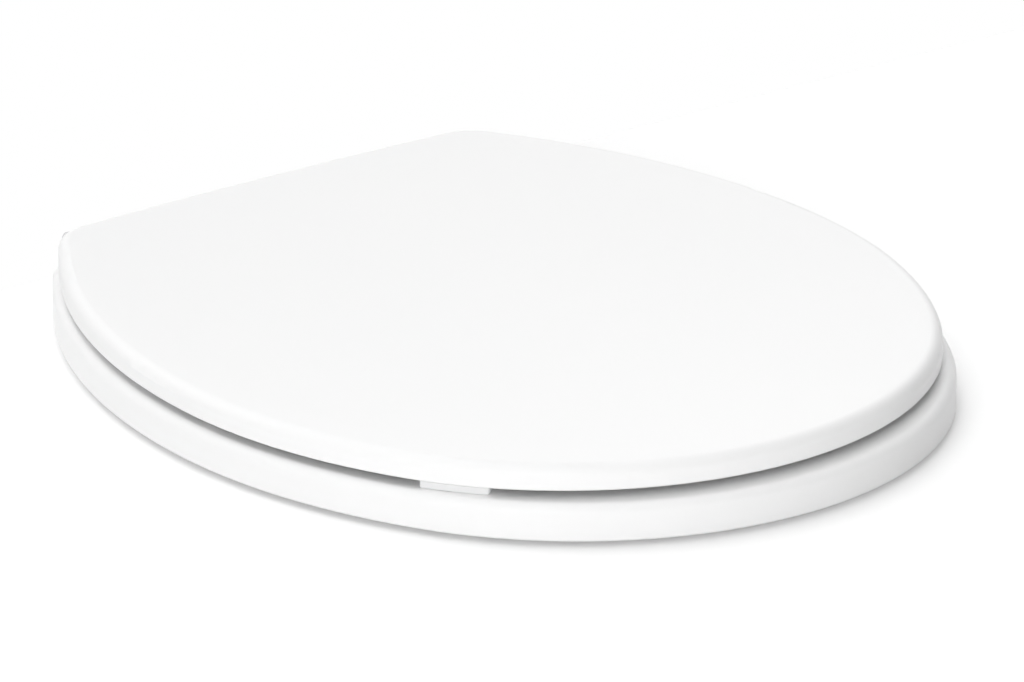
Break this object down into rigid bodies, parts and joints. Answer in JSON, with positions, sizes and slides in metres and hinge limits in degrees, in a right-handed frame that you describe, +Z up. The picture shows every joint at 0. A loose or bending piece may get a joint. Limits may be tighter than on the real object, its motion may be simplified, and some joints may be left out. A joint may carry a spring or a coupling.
{
  "type": "toilet seat",
  "caption": "Toilet seat with an egg-shaped ring and a closed flat lid on hinges at the back, fixed to the bowl by bolts with wing nuts.",
  "frame": {"origin": "on top of the bowl rim, midway between the two fixing bolts", "axes": "+X to the right seen from the front, -Y towards the front tip, +Z up from the bowl rim; left and right in the node names are as seen from the front"},
  "size_m": [0.3736, 0.4465, 0.0996],
  "materials": {
    "white_moulding": "smooth gloss white thermoset moulding",
    "soft_buffer": "pale grey soft plastic, matt",
    "hinge_metal": "stainless steel, fine brushed",
    "bush_plastic": "white plastic, satin"
  },
  "bodies": {
    "mount": {"hinge_bracket_left": "hinge_metal", "hinge_bracket_right": "hinge_metal", "foot_pad_left": "soft_buffer", "foot_pad_right": "soft_buffer", "hinge_pin_left": "hinge_metal", "hinge_pin_right": "hinge_metal", "fixing_bolts": "hinge_metal", "cone_washers": "soft_buffer", "flat_washers": "bush_plastic", "wing_nuts": "bush_plastic"},
    "seat_ring": {"ring": "white_moulding", "ring_buffer_front_left": "soft_buffer", "ring_buffer_front_right": "soft_buffer", "ring_buffer_rear_left": "soft_buffer", "ring_buffer_rear_right": "soft_buffer", "ring_hinge_left": "hinge_metal", "ring_hinge_right": "hinge_metal", "ring_hinge_bushes": "bush_plastic", "ring_hinge_screws": "hinge_metal"},
    "seat_lid": {"lid": "white_moulding", "lid_buffer_left": "soft_buffer", "lid_buffer_right": "soft_buffer", "lid_hinge_left": "hinge_metal", "lid_hinge_right": "hinge_metal", "lid_hinge_bushes": "bush_plastic", "lid_hinge_screws": "hinge_metal"}
  },
  "joints": [
    {"name": "ring_hinge", "type": "hinge", "parent": "mount", "child": "seat_ring", "pos_m": [0, 0.015, 0.0185], "axis": [-1, 0, 0], "range_deg": [0, 95]},
    {"name": "lid_hinge", "type": "hinge", "parent": "seat_ring", "child": "seat_lid", "pos_m": [0, 0.015, 0.0185], "axis": [-1, 0, 0], "range_deg": [0, 105]}
  ]
}
